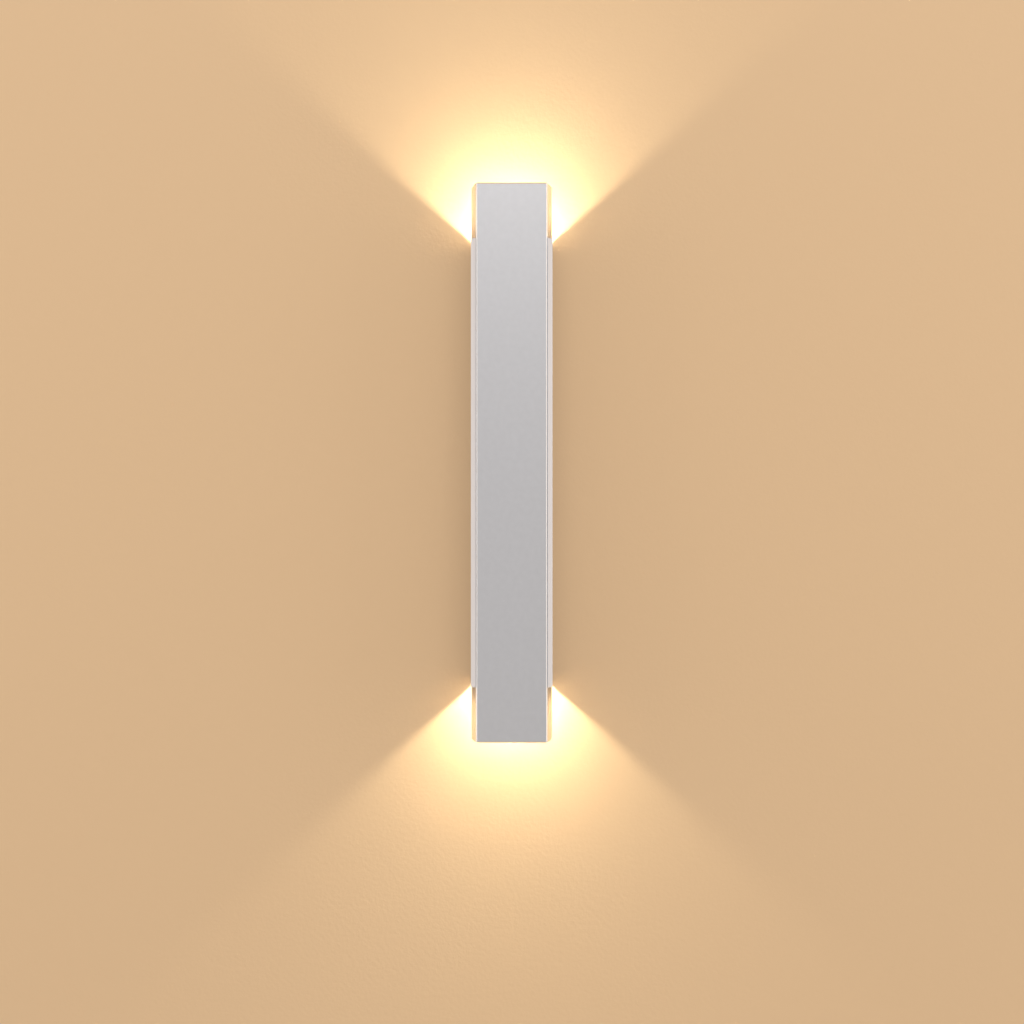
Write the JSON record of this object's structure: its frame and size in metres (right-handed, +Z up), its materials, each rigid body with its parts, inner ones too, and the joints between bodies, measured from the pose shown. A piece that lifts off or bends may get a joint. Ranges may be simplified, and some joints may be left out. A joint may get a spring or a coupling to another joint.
{
  "type": "wall light",
  "caption": "Slim upright aluminium tube wall light that shines up and down, with a full-length front plate, open glare hoods and a pull-off housing on a slotted wall bracket.",
  "frame": {"origin": "centre of the wall bracket's screw pattern, on the wall plane", "axes": "+Z up along the tube, +Y into the wall, so the front face looks along -Y; +X to the right as seen from the front"},
  "size_m": [0.0584, 0.05, 0.4],
  "materials": {
    "satin_aluminium": "satin",
    "mill_aluminium": "matte",
    "zinc_steel": "satin",
    "black_rubber": "matte",
    "tinned_copper": "satin",
    "thermal_pad": "matte",
    "white_board": "matte",
    "led_phosphor": "matte",
    "white_reflector": "gloss",
    "silicone": "matte",
    "clear_window": "gloss",
    "driver_case": "matte",
    "circuit_board": "matte",
    "dark_component": "satin",
    "terminal_plastic": "satin",
    "lever_plastic": "satin",
    "red_lead": "satin",
    "black_lead": "satin",
    "brown_lead": "satin",
    "blue_lead": "satin",
    "green_lead": "satin"
  },
  "bodies": {
    "wall_side": {"wall_bracket": "zinc_steel", "cable_grommet": "black_rubber"},
    "housing": {"board_screws": "zinc_steel", "driver_base": "driver_case", "driver_capacitors": "dark_component", "driver_circuit": "circuit_board", "driver_headers": "terminal_plastic", "driver_lid": "driver_case", "driver_transformer": "dark_component", "earth_lead": "green_lead", "earth_screw": "zinc_steel", "earth_tag": "tinned_copper", "frame_screws": "zinc_steel", "front_plate": "satin_aluminium", "gear_tray": "mill_aluminium", "housing_tube": "satin_aluminium", "lead_clips": "driver_case", "left_nut_strip": "zinc_steel", "lever_pin": "zinc_steel", "live_lead": "brown_lead", "lower_heat_sink": "mill_aluminium", "lower_hood": "satin_aluminium", "lower_led_board": "white_board", "lower_led_emitter": "led_phosphor", "lower_negative_lead": "black_lead", "lower_positive_lead": "red_lead", "lower_reflector": "white_reflector", "lower_thermal_pad": "thermal_pad", "lower_window": "clear_window", "lower_window_seal": "silicone", "neutral_lead": "blue_lead", "right_nut_strip": "zinc_steel", "side_screws": "zinc_steel", "stud_nuts": "zinc_steel", "terminal_block": "terminal_plastic", "terminal_contacts": "tinned_copper", "tray_edging": "black_rubber", "tray_screws": "zinc_steel", "upper_heat_sink": "mill_aluminium", "upper_hood": "satin_aluminium", "upper_led_board": "white_board", "upper_led_emitter": "led_phosphor", "upper_negative_lead": "black_lead", "upper_positive_lead": "red_lead", "upper_reflector": "white_reflector", "upper_thermal_pad": "thermal_pad", "upper_window": "clear_window", "upper_window_seal": "silicone"},
    "live_clamp": {"live_lever": "lever_plastic"},
    "neutral_clamp": {"neutral_lever": "lever_plastic"},
    "earth_clamp": {"earth_lever": "lever_plastic"}
  },
  "joints": [
    {"name": "housing_pull", "type": "slide", "parent": "wall_side", "child": "housing", "axis": [0, -1, 0], "range_m": [0, 0.06]},
    {"name": "live_lever_hinge", "type": "hinge", "parent": "housing", "child": "live_clamp", "pos_m": [-0.0062, -0.0145, -0.056], "axis": [1, 0, 0], "range_deg": [0, 85]},
    {"name": "neutral_lever_hinge", "type": "hinge", "parent": "housing", "child": "neutral_clamp", "pos_m": [0, -0.0145, -0.056], "axis": [1, 0, 0], "range_deg": [0, 85]},
    {"name": "earth_lever_hinge", "type": "hinge", "parent": "housing", "child": "earth_clamp", "pos_m": [0.0062, -0.0145, -0.056], "axis": [1, 0, 0], "range_deg": [0, 85]}
  ]
}
